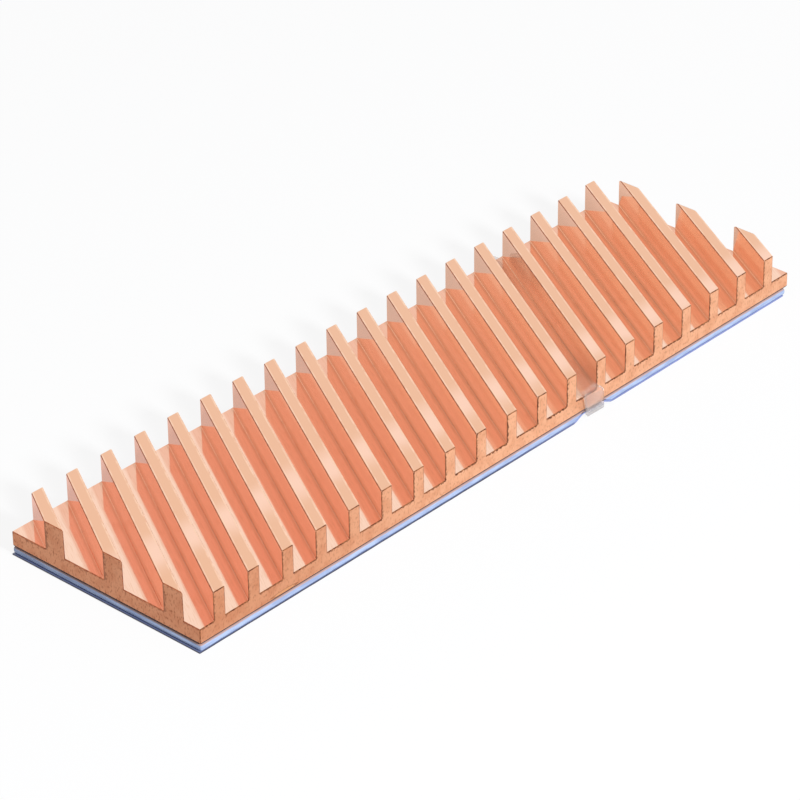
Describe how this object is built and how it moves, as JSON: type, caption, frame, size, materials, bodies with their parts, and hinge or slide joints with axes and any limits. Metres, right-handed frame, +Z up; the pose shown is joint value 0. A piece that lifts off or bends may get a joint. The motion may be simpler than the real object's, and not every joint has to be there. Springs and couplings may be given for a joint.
{
  "type": "ssd heat sink",
  "caption": "Flat copper heat sink with slanted straight fins, a soft thermal pad with its release film, and a clear elastic band looped through a fin channel.",
  "frame": {"origin": "centre of the copper block's outline, on the underside of the release film", "axes": "+X along the block, +Y across it away from the side that shows the band's near bend, +Z up through the fins"},
  "size_m": [0.0701, 0.0212, 0.0046],
  "materials": {
    "copper": "bare milled copper",
    "pad": "soft light blue silicone",
    "film": "clear gloss",
    "band": "clear silicone"
  },
  "bodies": {
    "root": {"finned_heat_sink": "copper", "thermal_pad": "pad", "release_film": "film", "retaining_band": "band"}
  },
  "joints": []
}
